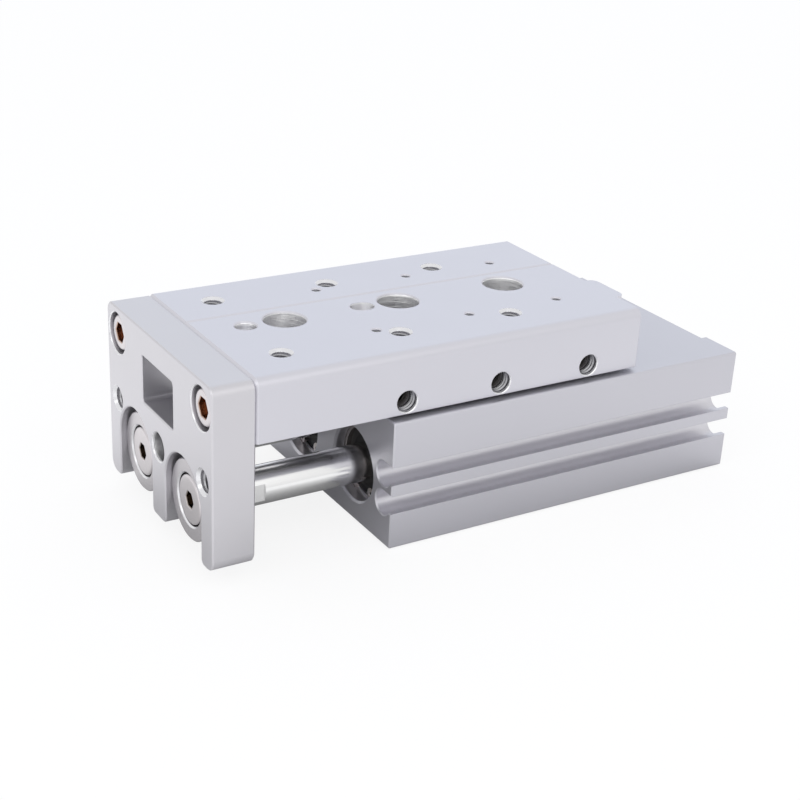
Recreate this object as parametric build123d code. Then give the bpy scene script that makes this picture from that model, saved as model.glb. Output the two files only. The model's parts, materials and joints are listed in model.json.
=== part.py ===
from build123d import *
import os
from math import cos, radians, sin

# Twin-rod slide table cylinder, pushed out to the end of its stroke.
# X runs along the stroke: the end plate is toward -X and the body's rear end toward +X.
# Y runs across: the side with the sensor grooves is -Y. Z is up.
# The origin is on the bottom face of the body, at the middle one of the three mounting holes.
# All sizes are in millimetres.

# Main sizes
stroke = 30.0
body_length = 98.1
body_width = 62.0
body_height = 31.4
body_edge = 0.6
edge_break = 0.3
strip_width = 11.3
strip_overhang = 1.9
front_to_mount = 18.5
mount_pitch = 30.0

# Cylinder bores
rod_spacing = 26.8
axis_height = 13.9
bore_diameter = 16.0
rod_diameter = 9.0
mouth_diameter = 18.0
mouth_recess = 4.0
mouth_chamfer = 0.5
rod_cover_length = 20.0
head_bore_diameter = 17.0
head_recess = 3.5
head_cap_length = 10.0
bumper_length = 2.0
bumper_wall = 1.6
bumper_clearance = 0.6
piston_end_gap = 0.2
port_bore = 3.0
port_offset = 1.0
port_tap = 4.2
port_tap_depth = 6.0

# Sensor grooves in the near side
groove_mouth = 4.4
groove_round = 6.0
groove_depth = 6.9
groove_drop = 0.8
upper_groove_height = 18.3
lower_groove_height = 11.1

# Slide table
table_reach = 32.75
table_length = 101.75
table_width = 58.0
table_height = 14.7
table_gap = 0.8
table_round = 2.2
table_front_chamfer = 0.6
channel_width = 36.0
channel_depth = 7.0
scribe_place = 7.3
scribe_width = 1.0
scribe_depth = 0.4
lug_place = -13.1
lug_width = 12.5
lug_reach = 2.4
lug_height = 6.3
lug_round = 2.0

# Holes in the table
top_thread_spacing = 35.0
top_thread_depth = 6.2
thread_tap = 4.2
thread_chamfer = 0.7
top_thread_to_front = 11.5
access_diameter = 10.0
access_chamfer = 0.3
locating_diameter = 5.0
locating_slot_length = 6.0
locating_depth = 3.5
locating_chamfer = 0.35
rail_screw_spacing = 28.7
rail_screw_pitch = 25.0
rail_screw_to_front = 37.0
rail_tap = 2.1
rail_tap_chamfer = 0.3
side_tap_rise = 2.9

# End plate
plate_thickness = 10.0
plate_narrowing = 0.0
plate_drop = 0.3
plate_bottom = 3.4
plate_corner = 3.0
leg_round = 1.5
slot_width = 19.4
slot_rise = 1.2
slot_depth = 7.3
neck_slot_width = 8.4
window_width = 17.4
window_drop = 6.4
window_height = 11.3
window_round = 0.8
plate_screw_spacing = 46.4
plate_screw_drop = 6.4
plate_thread_rise = 9.6
plate_thread_spacing = 48.0
plate_thread_tap = 5.0
plate_thread_chamfer = 0.75
plate_hole_diameter = 6.6
plate_hole_rise = 7.3
plate_hole_depth = 7.0
plate_hole_chamfer = 0.4

# Rod ends
neck_diameter = 7.8
neck_float = 0.1
flange_diameter = 19.0
flange_recess = 1.5
flange_counterbore = 12.2
flange_chamfer = 0.3
flange_counterbore_chamfer = 0.4
rod_end_head_diameter = 11.6
rod_end_head_height = 3.6
rod_end_head_sink = 0.1
rod_end_hex = 4.0
rod_end_shank = 6.0
rod_end_shank_length = 14.0
spigot_diameter = 6.0
rod_flat_length = 8.0
rod_flat_width = 8.0
rod_chamfer = 0.3

# Roller guide
guide_width = 17.2
guide_gap = 0.6
guide_end_gap = 1.0
guide_length = 67.0
guide_screw_to_front = 6.5
guide_screw_to_rear = 8.0
rail_gap = 1.2
rail_end_gap = 1.75
vee_rise = 4.6
roller_diameter = 3.0
roller_length = 2.7
roller_clearance = 0.03
roller_pitch = 4.2
roller_count = 11
cage_thickness = 0.6
cage_height = 4.6
cage_margin = 3.0
cage_window_gap = 0.15
cage_window_share = 0.98
stop_inset = 1.2
stop_drop = 2.7
stop_head_diameter = 3.6
stop_head_height = 0.9
stop_shank = 1.6
stop_shank_length = 4.0

# Screws
m5_head_diameter = 8.5
m5_head_height = 5.0
m5_hex = 4.0
m5_shank = 5.0
m5_counterbore = 9.8
m5_clearance_hole = 5.5
m5_counterbore_depth = 5.6
mount_counterbore = 9.2
mount_counterbore_depth = 5.4
m4_head_diameter = 7.0
m4_head_height = 4.0
m4_hex = 3.0
m4_shank = 4.0
m4_counterbore = 7.4
m4_counterbore_depth = 4.2
m4_grip_in_body = 9.0
m25_head_diameter = 4.5
m25_head_height = 2.5
m25_hex = 2.0
m25_shank = 2.5
m25_counterbore = 4.8
m25_counterbore_depth = 2.8
m25_length_in_table = 4.5
set_screw_diameter = 5.0
set_screw_length = 7.0
set_screw_hex = 2.5
plate_screw_length_in_table = 10.0
head_chamfer_share = 0.05
socket_lead_in = 0.08
socket_depth_share = 0.55
screw_end_room = 0.5

# Bottom face of the body
base_thread_spacing_x = 70.0
base_thread_spacing_y = 44.0
base_thread_depth = 6.0
dowel_diameter = 4.0
dowel_slot_length = 5.0
dowel_depth = 4.0
dowel_spacing = 30.0

# Small inner parts
fit = 0.02
free_fit = 0.1
ring_thickness = 1.2
ring_width = 1.5
ring_groove_depth = 0.7
ring_slack = 0.1
ring_opening = 50.0
ring_lug_radius = 1.5
ring_lug_hole = 1.1
ring_lug_turn = 4.6
ring_lug_rise = 0.3
bush_wall = 1.0
bush_length = 9.0
rod_seal_wall = 2.0
rod_seal_length = 3.0
rod_seal_lip = 1.6
rod_seal_lip_length = 0.6
cover_chamfer = 0.6
cap_chamfer = 0.5
o_ring_section = 1.5
o_ring_corner = 0.45
piston_seal_section = 1.6
piston_seal_inset = 4.0
magnet_inset = 7.5
magnet_length = 3.0
magnet_wall = 2.2
wear_ring_inset = 12.0
wear_ring_length = 4.0
wear_ring_wall = 1.0
piston_nut_width = 10.0
piston_nut_height = 5.0
piston_nut_recess = 12.4
piston_nut_sink = 0.5
piston_seal_to_recess = 1.6

# Places worked out from the sizes above
front = -(front_to_mount + mount_pitch)
rear = front + body_length
strip_rear = rear + strip_overhang
near_side = -body_width / 2
far_side = body_width / 2
bore_places = (-rod_spacing / 2, rod_spacing / 2)
cover_front = front + mouth_recess
cover_rear = cover_front + rod_cover_length
cap_rear = rear - head_recess
cap_front = cap_rear - head_cap_length
piston_front = cover_rear + bumper_length + piston_end_gap
piston_rear = cap_front - bumper_length - piston_end_gap - stroke

table_front = front - table_reach
table_rear = table_front + table_length
table_bottom = body_height + table_gap
table_top = table_bottom + table_height
channel_top = table_bottom + channel_depth
side_tap_height = table_bottom + side_tap_rise
plate_front = table_front - plate_thickness
plate_width = table_width - plate_narrowing
plate_top = table_top - plate_drop
window_top = plate_top - window_drop
plate_screw_height = plate_top - plate_screw_drop
plate_thread_height = axis_height + plate_thread_rise
plate_hole_height = axis_height + plate_hole_rise
slot_center = axis_height + slot_rise
vee_height = body_height + vee_rise
access_places = [i * mount_pitch for i in (-2, -1, 0)]
mount_places = [i * mount_pitch for i in (-1, 0, 1)]
top_thread_places = [table_front + top_thread_to_front + i * mount_pitch for i in range(3)]
rail_screw_places = [table_front + rail_screw_to_front + i * rail_screw_pitch for i in range(3)]
plate_screw_places = (-plate_screw_spacing / 2, plate_screw_spacing / 2)

square_side = roller_diameter + 2 * roller_clearance
vee_reach = square_side * cos(radians(45))
roller_place = guide_width / 2 + rail_gap / 2
guide_front = front + guide_end_gap
guide_rear = guide_front + guide_length
guide_top = channel_top - guide_gap
stop_place = guide_width / 2 - stop_inset
stop_height = vee_height - stop_drop
rail_inner = guide_width / 2 + rail_gap
rail_outer = channel_width / 2
rail_front = table_front + rail_end_gap
rail_rear = table_rear - rail_end_gap
rail_bottom = table_bottom + guide_gap
cage_length = (roller_count - 1) * roller_pitch + 2 * cage_margin
cage_front = guide_front + (guide_length - cage_length - stroke / 2) / 2
guide_screw_places = (guide_front + guide_screw_to_front, -mount_pitch / 2, guide_rear - guide_screw_to_rear)


# Basic shapes
def bar(x0, x1, y0, y1, z0, z1):
    return Pos((x0 + x1) / 2, (y0 + y1) / 2, (z0 + z1) / 2) * Box(x1 - x0, abs(y1 - y0), z1 - z0)


def round_x(x0, x1, diameter, y=0.0, z=0.0):
    return Pos((x0 + x1) / 2, y, z) * Rot(0, 90, 0) * Cylinder(diameter / 2, x1 - x0)


def round_y(y0, y1, diameter, x=0.0, z=0.0):
    return Pos(x, (y0 + y1) / 2, z) * Rot(90, 0, 0) * Cylinder(diameter / 2, y1 - y0)


def round_z(z0, z1, diameter, x=0.0, y=0.0):
    return Pos(x, y, (z0 + z1) / 2) * Cylinder(diameter / 2, z1 - z0)


def tube_x(x0, x1, outer, inner, y=0.0, z=0.0):
    return round_x(x0, x1, outer, y, z) - round_x(x0 - 1, x1 + 1, inner, y, z)


def along_x(sketch, x0, x1):
    # A sketch drawn with its own x as Y and its own y as Z, pushed from x0 to x1.
    return extrude(Plane.YZ.offset(x0) * sketch, x1 - x0)


def hole_down(x, y, top, depth, diameter, chamfer_size):
    # A hole from a face that looks up, with a chamfered rim.
    rim = Pos(x, y, top - chamfer_size / 2) * Cone(diameter / 2, diameter / 2 + chamfer_size, chamfer_size)
    return round_z(top - depth, top + 1, diameter, x, y) + rim


def hole_in_x(x, y, z, depth, diameter, chamfer_size):
    # A hole from a face that looks toward -X, with a chamfered rim.
    rim = Pos(x + chamfer_size / 2, y, z) * Rot(0, -90, 0) * Cone(
        diameter / 2, diameter / 2 + chamfer_size, chamfer_size
    )
    return round_x(x - 1, x + depth, diameter, y, z) + rim


def hole_in_y(x, y, z, depth, diameter, chamfer_size):
    # A hole from a face that looks toward -Y, with a chamfered rim.
    rim = Pos(x, y + chamfer_size / 2, z) * Rot(90, 0, 0) * Cone(
        diameter / 2, diameter / 2 + chamfer_size, chamfer_size
    )
    return round_y(y - 1, y + depth, diameter, x, z) + rim


def socket_screw(head_diameter, head_height, shank_diameter, shank_length, hex_width):
    # Head above z = 0 and shank below it, with a hexagon socket in the head that widens at its mouth.
    head = Pos(0, 0, head_height / 2) * Cylinder(head_diameter / 2, head_height)
    head = chamfer(head.edges().group_by(Axis.Z)[-1], head_chamfer_share * head_diameter)
    shank = Pos(0, 0, -shank_length / 2) * Cylinder(shank_diameter / 2, shank_length)
    socket_depth = socket_depth_share * head_height
    hexagon = RegularPolygon(hex_width / 2, 6, major_radius=False)
    socket = extrude(Pos(0, 0, head_height - socket_depth) * hexagon, socket_depth + 1)
    lead_in = socket_lead_in * hex_width
    rim = Pos(0, 0, head_height - lead_in / 2) * Cone(hex_width / 2, hex_width / 2 + lead_in, lead_in)
    return head + shank - socket - rim


def group(solids):
    return Compound(children=list(solids))


# Cylinder body
def groove_cut(height):
    # A round sensor groove that opens to the near side through a narrower mouth.
    center_y = near_side + groove_depth - groove_round / 2
    center_z = height - groove_drop
    circle = Pos(center_y, center_z) * Circle(groove_round / 2)
    mouth = Pos((near_side - 1 + center_y) / 2, height) * Rectangle(center_y - near_side + 1, groove_mouth)
    return along_x(circle + mouth, front - 1, strip_rear + 1)


def bore_cuts(y):
    z = axis_height
    cuts = round_x(front - 1, strip_rear + 1, bore_diameter, y, z)
    cuts += round_x(front - 1, cover_rear, mouth_diameter, y, z)
    cuts += Pos(front + mouth_chamfer / 2, y, z) * Rot(0, -90, 0) * Cone(
        mouth_diameter / 2, mouth_diameter / 2 + mouth_chamfer, mouth_chamfer
    )
    cuts += round_x(cap_front, strip_rear + 1, head_bore_diameter, y, z)
    groove = ring_thickness + ring_slack
    cuts += round_x(cover_front - groove, cover_front, mouth_diameter + 2 * ring_groove_depth, y, z)
    cuts += round_x(cap_rear, cap_rear + groove, head_bore_diameter + 2 * ring_groove_depth, y, z)
    return cuts


def make_cylinder_body():
    profile = RectangleRounded(body_width, body_height, body_edge)
    body = along_x(Pos(0, body_height / 2) * profile, front, strip_rear)
    body -= bar(rear, strip_rear + 1, near_side + strip_width, far_side + 1, -1, body_height + 1)
    for height in (upper_groove_height, lower_groove_height):
        body -= groove_cut(height)
    body = chamfer(body.faces().sort_by(Axis.X)[0].outer_wire().edges(), edge_break)
    body = chamfer(body.faces().sort_by(Axis.X)[-1].outer_wire().edges(), edge_break)
    for y in bore_places:
        body -= bore_cuts(y)
    for x in (cover_rear + port_offset, cap_front - port_offset):
        body -= round_y(bore_places[0], far_side + 1, port_bore, x, axis_height)
        body -= round_y(far_side - port_tap_depth, far_side + 1, port_tap, x, axis_height)
    for x in mount_places:
        body -= round_z(-1, body_height + 1, m5_clearance_hole, x)
        if x > guide_rear:
            body -= round_z(body_height - mount_counterbore_depth, body_height + 1, mount_counterbore, x)
    for x in guide_screw_places:
        body -= round_z(body_height - m4_grip_in_body - 1, body_height + 1, m4_shank + 2 * fit, x)
    for x in (-base_thread_spacing_x / 2, base_thread_spacing_x / 2):
        for y in (-base_thread_spacing_y / 2, base_thread_spacing_y / 2):
            body -= round_z(-1, base_thread_depth, thread_tap, x, y)
    body -= round_z(-1, dowel_depth, dowel_diameter, -dowel_spacing / 2)
    slot = Pos(dowel_spacing / 2, 0) * SlotOverall(dowel_slot_length, dowel_diameter)
    body -= extrude(slot, dowel_depth)
    return body


# Roller guide
def guide_profile():
    half = guide_width / 2
    # The groove is as deep as the roller square, less the half gap that the roller bridges.
    depth = vee_reach - rail_gap / 2
    right = [
        (half, body_height),
        (half, vee_height - depth),
        (half - depth, vee_height),
        (half, vee_height + depth),
        (half, guide_top),
    ]
    left = [(-y, z) for y, z in reversed(right)]
    return make_face(Polyline(*right, *left, close=True))


def make_guide_rail():
    rail = along_x(guide_profile(), guide_front, guide_rear)
    for x in mount_places:
        if x < guide_rear:
            rail -= round_z(body_height - 1, guide_top + 1, m5_clearance_hole, x)
            rail -= round_z(guide_top - mount_counterbore_depth, guide_top + 1, mount_counterbore, x)
    for x in guide_screw_places:
        rail -= round_z(body_height - 1, guide_top + 1, m4_shank + 2 * free_fit, x)
        rail -= round_z(guide_top - m4_counterbore_depth, guide_top + 1, m4_counterbore, x)
    stop_hole = stop_shank + 2 * fit
    for side in (-1, 1):
        y = side * stop_place
        rail -= round_x(guide_front - 1, guide_front + stop_shank_length, stop_hole, y, stop_height)
        rail -= round_x(guide_rear - stop_shank_length, guide_rear + 1, stop_hole, y, stop_height)
    return rail


def make_guide_rail_screws():
    seat = guide_top - m4_counterbore_depth
    length = seat - body_height + m4_grip_in_body
    screw = socket_screw(m4_head_diameter, m4_head_height, m4_shank, length, m4_hex)
    return group(Pos(x, 0, seat) * screw for x in guide_screw_places)


def make_cage_stop_screws():
    # Each head overhangs the end of a cage and keeps it between the rails.
    stops = []
    for side in (-1, 1):
        y = side * stop_place
        z = stop_height
        front_head = round_x(guide_front - stop_head_height, guide_front, stop_head_diameter, y, z)
        front_shank = round_x(guide_front, guide_front + stop_shank_length, stop_shank, y, z)
        rear_head = round_x(guide_rear, guide_rear + stop_head_height, stop_head_diameter, y, z)
        rear_shank = round_x(guide_rear - stop_shank_length, guide_rear, stop_shank, y, z)
        stops.append(front_head + front_shank)
        stops.append(rear_head + rear_shank)
    return group(stops)


def table_rail_profile(side):
    depth = vee_reach - rail_gap / 2
    points = [
        (rail_inner, rail_bottom),
        (rail_inner, vee_height - depth),
        (rail_inner + depth, vee_height),
        (rail_inner, vee_height + depth),
        (rail_inner, channel_top),
        (rail_outer, channel_top),
        (rail_outer, rail_bottom),
    ]
    return make_face(Polyline(*[(side * y, z) for y, z in points], close=True))


def make_table_rail(side):
    rail = along_x(table_rail_profile(side), rail_front, rail_rear)
    y = side * rail_screw_spacing / 2
    for x in rail_screw_places:
        rail -= round_z(rail_bottom - 1, channel_top + 1, m25_shank + 2 * free_fit, x, y)
        rail -= round_z(rail_bottom - 1, rail_bottom + m25_counterbore_depth, m25_counterbore, x, y)
    return rail


def make_table_rail_screws():
    seat = rail_bottom + m25_counterbore_depth
    length = channel_top - seat + m25_length_in_table
    screw = Rot(180, 0, 0) * socket_screw(m25_head_diameter, m25_head_height, m25_shank, length, m25_hex)
    places = [(x, side * rail_screw_spacing / 2) for x in rail_screw_places for side in (-1, 1)]
    return group(Pos(x, y, seat) * screw for x, y in places)


def roller_places():
    return [cage_front + cage_margin + i * roller_pitch for i in range(roller_count)]


def make_roller_cage(side):
    y = side * roller_place
    half_height = cage_height / 2
    cage = bar(
        cage_front,
        cage_front + cage_length,
        y - cage_thickness / 2,
        y + cage_thickness / 2,
        vee_height - half_height,
        vee_height + half_height,
    )
    half_window = roller_diameter / 2 + cage_window_gap
    rise = vee_reach * cage_window_share
    for x in roller_places():
        cage -= bar(x - half_window, x + half_window, y - 1, y + 1, vee_height - rise, vee_height + rise)
    return cage


def make_rollers(side):
    # Crossed rollers: each next one leans the other way.
    rollers = []
    for i, x in enumerate(roller_places()):
        lean = 45 if i % 2 == 0 else -45
        roller = Cylinder(roller_diameter / 2, roller_length)
        rollers.append(Pos(x, side * roller_place, vee_height) * Rot(lean, 0, 0) * roller)
    return group(rollers)


# Slide table
def make_slide_table():
    block = Pos(0, (table_bottom + table_top) / 2) * Rectangle(table_width, table_top - table_bottom)
    block = fillet(block.vertices().group_by(Axis.Y)[-1], table_round)
    channel_low = table_bottom - 1
    channel = Pos(0, (channel_low + channel_top) / 2) * Rectangle(channel_width, channel_top - channel_low)
    scribe = make_face(
        Polyline(
            (scribe_place - scribe_width / 2, table_top),
            (scribe_place, table_top - scribe_depth),
            (scribe_place + scribe_width / 2, table_top),
            (scribe_place, table_top + 1),
            close=True,
        )
    )
    table = along_x(block, table_front, table_rear)
    top_cross_edges = table.edges().filter_by(Axis.Y).group_by(Axis.Z)[-1]
    table = chamfer(top_cross_edges.sort_by(Axis.X)[0], table_front_chamfer)
    table = chamfer(table.faces().sort_by(Axis.X)[-1].edges(), edge_break)
    table -= along_x(channel, table_front - 1, table_rear + 1)
    table -= along_x(scribe, table_front - 1, table_rear + 1)
    table += make_rear_lug()
    for x in top_thread_places:
        for y in (-top_thread_spacing / 2, top_thread_spacing / 2):
            table -= hole_down(x, y, table_top, top_thread_depth, thread_tap, thread_chamfer)
    for x in access_places:
        table -= hole_down(x, 0, table_top, table_top - channel_top + 1, access_diameter, access_chamfer)
    round_place, slot_place = top_thread_places[:2]
    table -= hole_down(round_place, 0, table_top, locating_depth, locating_diameter, locating_chamfer)
    slot = SlotOverall(locating_slot_length, locating_diameter)
    table -= extrude(Pos(slot_place, 0, table_top - locating_depth) * slot, locating_depth + 1)
    for x in rail_screw_places:
        for side in (-1, 1):
            y = side * rail_screw_spacing / 2
            table -= hole_down(x, y, table_top, table_top - channel_top + 1, rail_tap, rail_tap_chamfer)
            table -= round_z(
                channel_top - 1, channel_top + m25_length_in_table + screw_end_room, m25_shank + 2 * fit, x, y
            )
        arm = (table_width - channel_width) / 2
        table -= hole_in_y(
            x, -table_width / 2, side_tap_height, arm + 1, set_screw_diameter + 2 * fit, rail_tap_chamfer
        )
    screw_end = table_front + plate_screw_length_in_table + screw_end_room
    for y in plate_screw_places:
        table -= round_x(table_front - 1, screw_end, m5_shank + 2 * fit, y, plate_screw_height)
    return table


def make_rear_lug():
    overlap = 2 * lug_round
    lug = bar(
        table_rear - overlap,
        table_rear + lug_reach,
        lug_place - lug_width / 2,
        lug_place + lug_width / 2,
        table_top - lug_height,
        table_top,
    )
    return fillet(lug.edges().filter_by(Axis.Z).group_by(Axis.X)[-1], lug_round)


def make_preload_screws():
    screws = []
    for x in rail_screw_places:
        tip = -rail_outer
        outer_end = tip - set_screw_length
        body = round_y(outer_end, tip, set_screw_diameter, x, side_tap_height)
        hexagon = RegularPolygon(set_screw_hex / 2, 6, major_radius=False)
        outer_face = Plane(origin=(x, outer_end, side_tap_height), x_dir=(1, 0, 0), z_dir=(0, -1, 0))
        body -= extrude(outer_face * hexagon, -set_screw_hex)
        screws.append(body)
    return group(screws)


# End plate and its screws
def recess_outline(width, center):
    # A U shape whose arc is centred at that height and which is open at the bottom edge of the plate.
    low = plate_bottom - 1
    straight = Pos(0, (low + center) / 2) * Rectangle(width, center - low)
    return straight + Pos(0, center) * Circle(width / 2)


def make_end_plate():
    outline = Pos(0, (plate_bottom + plate_top) / 2) * Rectangle(plate_width, plate_top - plate_bottom)
    outline = fillet(outline.vertices().group_by(Axis.Y)[-1], table_round)
    outline = fillet(outline.vertices().group_by(Axis.Y)[0], plate_corner)
    window_center = window_top - window_height / 2
    outline -= Pos(0, window_center) * RectangleRounded(window_width, window_height, window_round)
    for y in bore_places:
        outline -= Pos(y, 0) * recess_outline(neck_slot_width, axis_height)
    plate = along_x(outline, plate_front, table_front)
    for y in bore_places:
        recess = Pos(y, 0) * recess_outline(slot_width, slot_center)
        plate -= along_x(recess, plate_front - 1, plate_front + slot_depth)
    # The feet of the legs are rounded where the wide slots cut them.
    leg_edges = []
    for y in bore_places:
        for side in (-1, 1):
            spot = (plate_front + slot_depth / 2, y + side * slot_width / 2, plate_bottom)
            leg_edges.append(plate.edges().filter_by(Axis.X).sort_by_distance(spot)[0])
    plate = fillet(leg_edges, leg_round)
    plate = chamfer(plate.faces().sort_by(Axis.X)[0].edges(), edge_break)
    plate = chamfer(plate.faces().sort_by(Axis.X)[-1].outer_wire().edges(), edge_break)
    for y in plate_screw_places:
        plate -= round_x(plate_front - 1, table_front + 1, m5_clearance_hole, y, plate_screw_height)
        plate -= hole_in_x(
            plate_front, y, plate_screw_height, m5_counterbore_depth, m5_counterbore, edge_break
        )
    for y in (-plate_thread_spacing / 2, plate_thread_spacing / 2):
        plate -= hole_in_x(
            plate_front, y, plate_thread_height, plate_thickness + 1, plate_thread_tap, plate_thread_chamfer
        )
    plate -= hole_in_x(
        plate_front, 0, plate_hole_height, plate_hole_depth, plate_hole_diameter, plate_hole_chamfer
    )
    return plate


def make_end_plate_screws():
    seat = plate_front + m5_counterbore_depth
    length = plate_thickness - m5_counterbore_depth + plate_screw_length_in_table
    screw = Rot(0, -90, 0) * socket_screw(m5_head_diameter, m5_head_height, m5_shank, length, m5_hex)
    return group(Pos(seat, y, plate_screw_height) * screw for y in plate_screw_places)


# Rod ends
flange_front = plate_front + flange_recess
flange_rear = plate_front + slot_depth - neck_float / 2
rod_end_seat = flange_front + rod_end_head_height + rod_end_head_sink


def make_floating_bushing(y):
    flange = round_x(flange_front, flange_rear, flange_diameter, y, axis_height)
    flange = chamfer(flange.edges().group_by(Axis.X)[0], flange_chamfer)
    depth = rod_end_seat - flange_front
    flange -= hole_in_x(flange_front, y, axis_height, depth, flange_counterbore, flange_counterbore_chamfer)
    flange -= round_x(flange_front - 1, flange_rear + 1, rod_end_shank + 2 * free_fit, y, axis_height)
    return flange


def make_rod_end_screw(y):
    screw = socket_screw(
        rod_end_head_diameter, rod_end_head_height, rod_end_shank, rod_end_shank_length, rod_end_hex
    )
    return Pos(rod_end_seat, y, axis_height) * Rot(0, -90, 0) * screw


def make_piston_rod(y):
    z = axis_height
    neck_front = flange_rear
    shoulder = table_front + neck_float / 2
    rod = round_x(shoulder, piston_front, rod_diameter, y, z)
    rod = chamfer(rod.edges().group_by(Axis.X)[0], rod_chamfer)
    # Two flats by the plate take a wrench.
    flat_end = shoulder + rod_flat_length
    for side in (-1, 1):
        flat = y + side * rod_flat_width / 2
        outside = flat + side * rod_diameter
        rod -= bar(shoulder - 1, flat_end, flat, outside, z - rod_diameter, z + rod_diameter)
    rod += round_x(neck_front, shoulder + 1, neck_diameter, y, z)
    rod += round_x(piston_front - 1, piston_rear, spigot_diameter, y, z)
    rod -= round_x(neck_front - 1, rod_end_seat + rod_end_shank_length + 1, rod_end_shank + 2 * fit, y, z)
    return rod


# Pistons
nut_front = piston_rear - piston_nut_height - piston_nut_sink
magnet_front = piston_front + magnet_inset
wear_ring_front = piston_front + wear_ring_inset


def piston_seal_places():
    return (piston_front + piston_seal_inset, nut_front - piston_seal_to_recess)


def make_piston(y):
    z = axis_height
    outer = bore_diameter - 2 * free_fit
    piston = round_x(piston_front, piston_rear, outer, y, z)
    half = piston_seal_section / 2 + fit
    seal_inner = bore_diameter - 2 * piston_seal_section - 4 * fit
    for x in piston_seal_places():
        piston -= tube_x(x - half, x + half, outer + 1, seal_inner, y, z)
    magnet_inner = outer - 2 * magnet_wall
    piston -= tube_x(magnet_front - fit, magnet_front + magnet_length + fit, outer + 1, magnet_inner, y, z)
    wear_inner = outer - 2 * wear_ring_wall
    wear_rear = wear_ring_front + wear_ring_length
    piston -= tube_x(wear_ring_front - fit, wear_rear + fit, outer + 1, wear_inner, y, z)
    piston -= round_x(piston_front - 1, piston_rear + 1, spigot_diameter + 2 * fit, y, z)
    piston -= round_x(nut_front, piston_rear + 1, piston_nut_recess, y, z)
    return piston


def make_piston_nuts():
    nuts = []
    for y in bore_places:
        hexagon = RegularPolygon(piston_nut_width / 2, 6, major_radius=False)
        nut = along_x(Pos(y, axis_height) * hexagon, nut_front, nut_front + piston_nut_height)
        nuts.append(nut - round_x(nut_front - 1, piston_rear + 1, spigot_diameter + 2 * fit, y, axis_height))
    return group(nuts)


def make_piston_seals():
    half = piston_seal_section / 2
    outer = bore_diameter - 2 * fit
    inner = bore_diameter - 2 * piston_seal_section - 2 * fit
    places = [(x, y) for x in piston_seal_places() for y in bore_places]
    return group(tube_x(x - half, x + half, outer, inner, y, axis_height) for x, y in places)


def make_piston_magnets():
    magnet_rear = magnet_front + magnet_length
    outer = bore_diameter - 2 * free_fit
    inner = outer - 2 * magnet_wall + 2 * fit
    return group(tube_x(magnet_front, magnet_rear, outer, inner, y, axis_height) for y in bore_places)


def make_wear_rings():
    wear_ring_rear = wear_ring_front + wear_ring_length
    outer = bore_diameter - 2 * fit
    inner = bore_diameter - 2 * free_fit - 2 * wear_ring_wall + 2 * fit
    return group(tube_x(wear_ring_front, wear_ring_rear, outer, inner, y, axis_height) for y in bore_places)


# Covers, caps, rings and seals of the bores
def o_ring_cut(x, outer, y):
    half = o_ring_section / 2 + free_fit
    inner = outer - 2 * o_ring_section
    return tube_x(x - half, x + half, outer + 1, inner, y, axis_height)


cover_o_ring_place = cover_front + rod_cover_length / 2
cap_o_ring_place = cap_front + head_cap_length / 2


def make_rod_cover(y):
    z = axis_height
    outer = mouth_diameter - 2 * fit
    cover = round_x(cover_front, cover_rear, outer, y, z)
    cover = chamfer(cover.edges().group_by(Axis.X)[0], cover_chamfer)
    cover -= round_x(cover_front - 1, cover_rear + 1, rod_diameter + 2 * free_fit, y, z)
    seal_outer = rod_diameter + 2 * rod_seal_wall + 2 * fit
    cover -= round_x(cover_front - 1, cover_front + rod_seal_length, seal_outer, y, z)
    bush_outer = rod_diameter + 2 * bush_wall + 4 * fit
    cover -= round_x(cover_rear - bush_length, cover_rear + 1, bush_outer, y, z)
    cover -= o_ring_cut(cover_o_ring_place, outer, y)
    return cover


def make_rod_seals():
    seals = []
    for y in bore_places:
        outer = rod_diameter + 2 * rod_seal_wall
        inner = rod_diameter + 2 * fit
        lip_outer = rod_diameter + rod_seal_lip
        seal = tube_x(cover_front, cover_front + rod_seal_length, outer, inner, y, axis_height)
        lip = tube_x(cover_front - rod_seal_lip_length, cover_front, lip_outer, inner, y, axis_height)
        seals.append(seal + lip)
    return group(seals)


def make_rod_bushings():
    bush_front = cover_rear - bush_length
    outer = rod_diameter + 2 * bush_wall + 2 * fit
    inner = rod_diameter + 2 * fit
    return group(tube_x(bush_front, cover_rear, outer, inner, y, axis_height) for y in bore_places)


def o_rings(x, bore):
    # Squeezed between bore and groove, an O-ring is flat on both sides and round between them.
    half = o_ring_section / 2 - fit
    outer = bore - 2 * fit
    inner = bore - 2 * o_ring_section
    rings = []
    for y in bore_places:
        ring = tube_x(x - half, x + half, outer, inner, y, axis_height)
        rings.append(chamfer(ring.edges().filter_by(GeomType.CIRCLE), o_ring_corner))
    return group(rings)


def make_cover_o_rings():
    return o_rings(cover_o_ring_place, mouth_diameter)


def make_head_cap_o_rings():
    return o_rings(cap_o_ring_place, head_bore_diameter)


def make_head_cap(y):
    outer = head_bore_diameter - 2 * fit
    cap = round_x(cap_front, cap_rear, outer, y, axis_height)
    cap = chamfer(cap.edges().group_by(Axis.X)[-1], cap_chamfer)
    cap -= round_x(cap_rear - head_cap_length / 3, cap_rear + 1, bore_diameter / 2, y, axis_height)
    cap -= o_ring_cut(cap_o_ring_place, outer, y)
    return cap


def make_bumpers(x0):
    # Rubber rings that stop the pistons. They leave room for the air beside them.
    outer = bore_diameter - 2 * bumper_clearance
    inner = outer - 2 * bumper_wall
    return group(tube_x(x0, x0 + bumper_length, outer, inner, y, axis_height) for y in bore_places)


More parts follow.
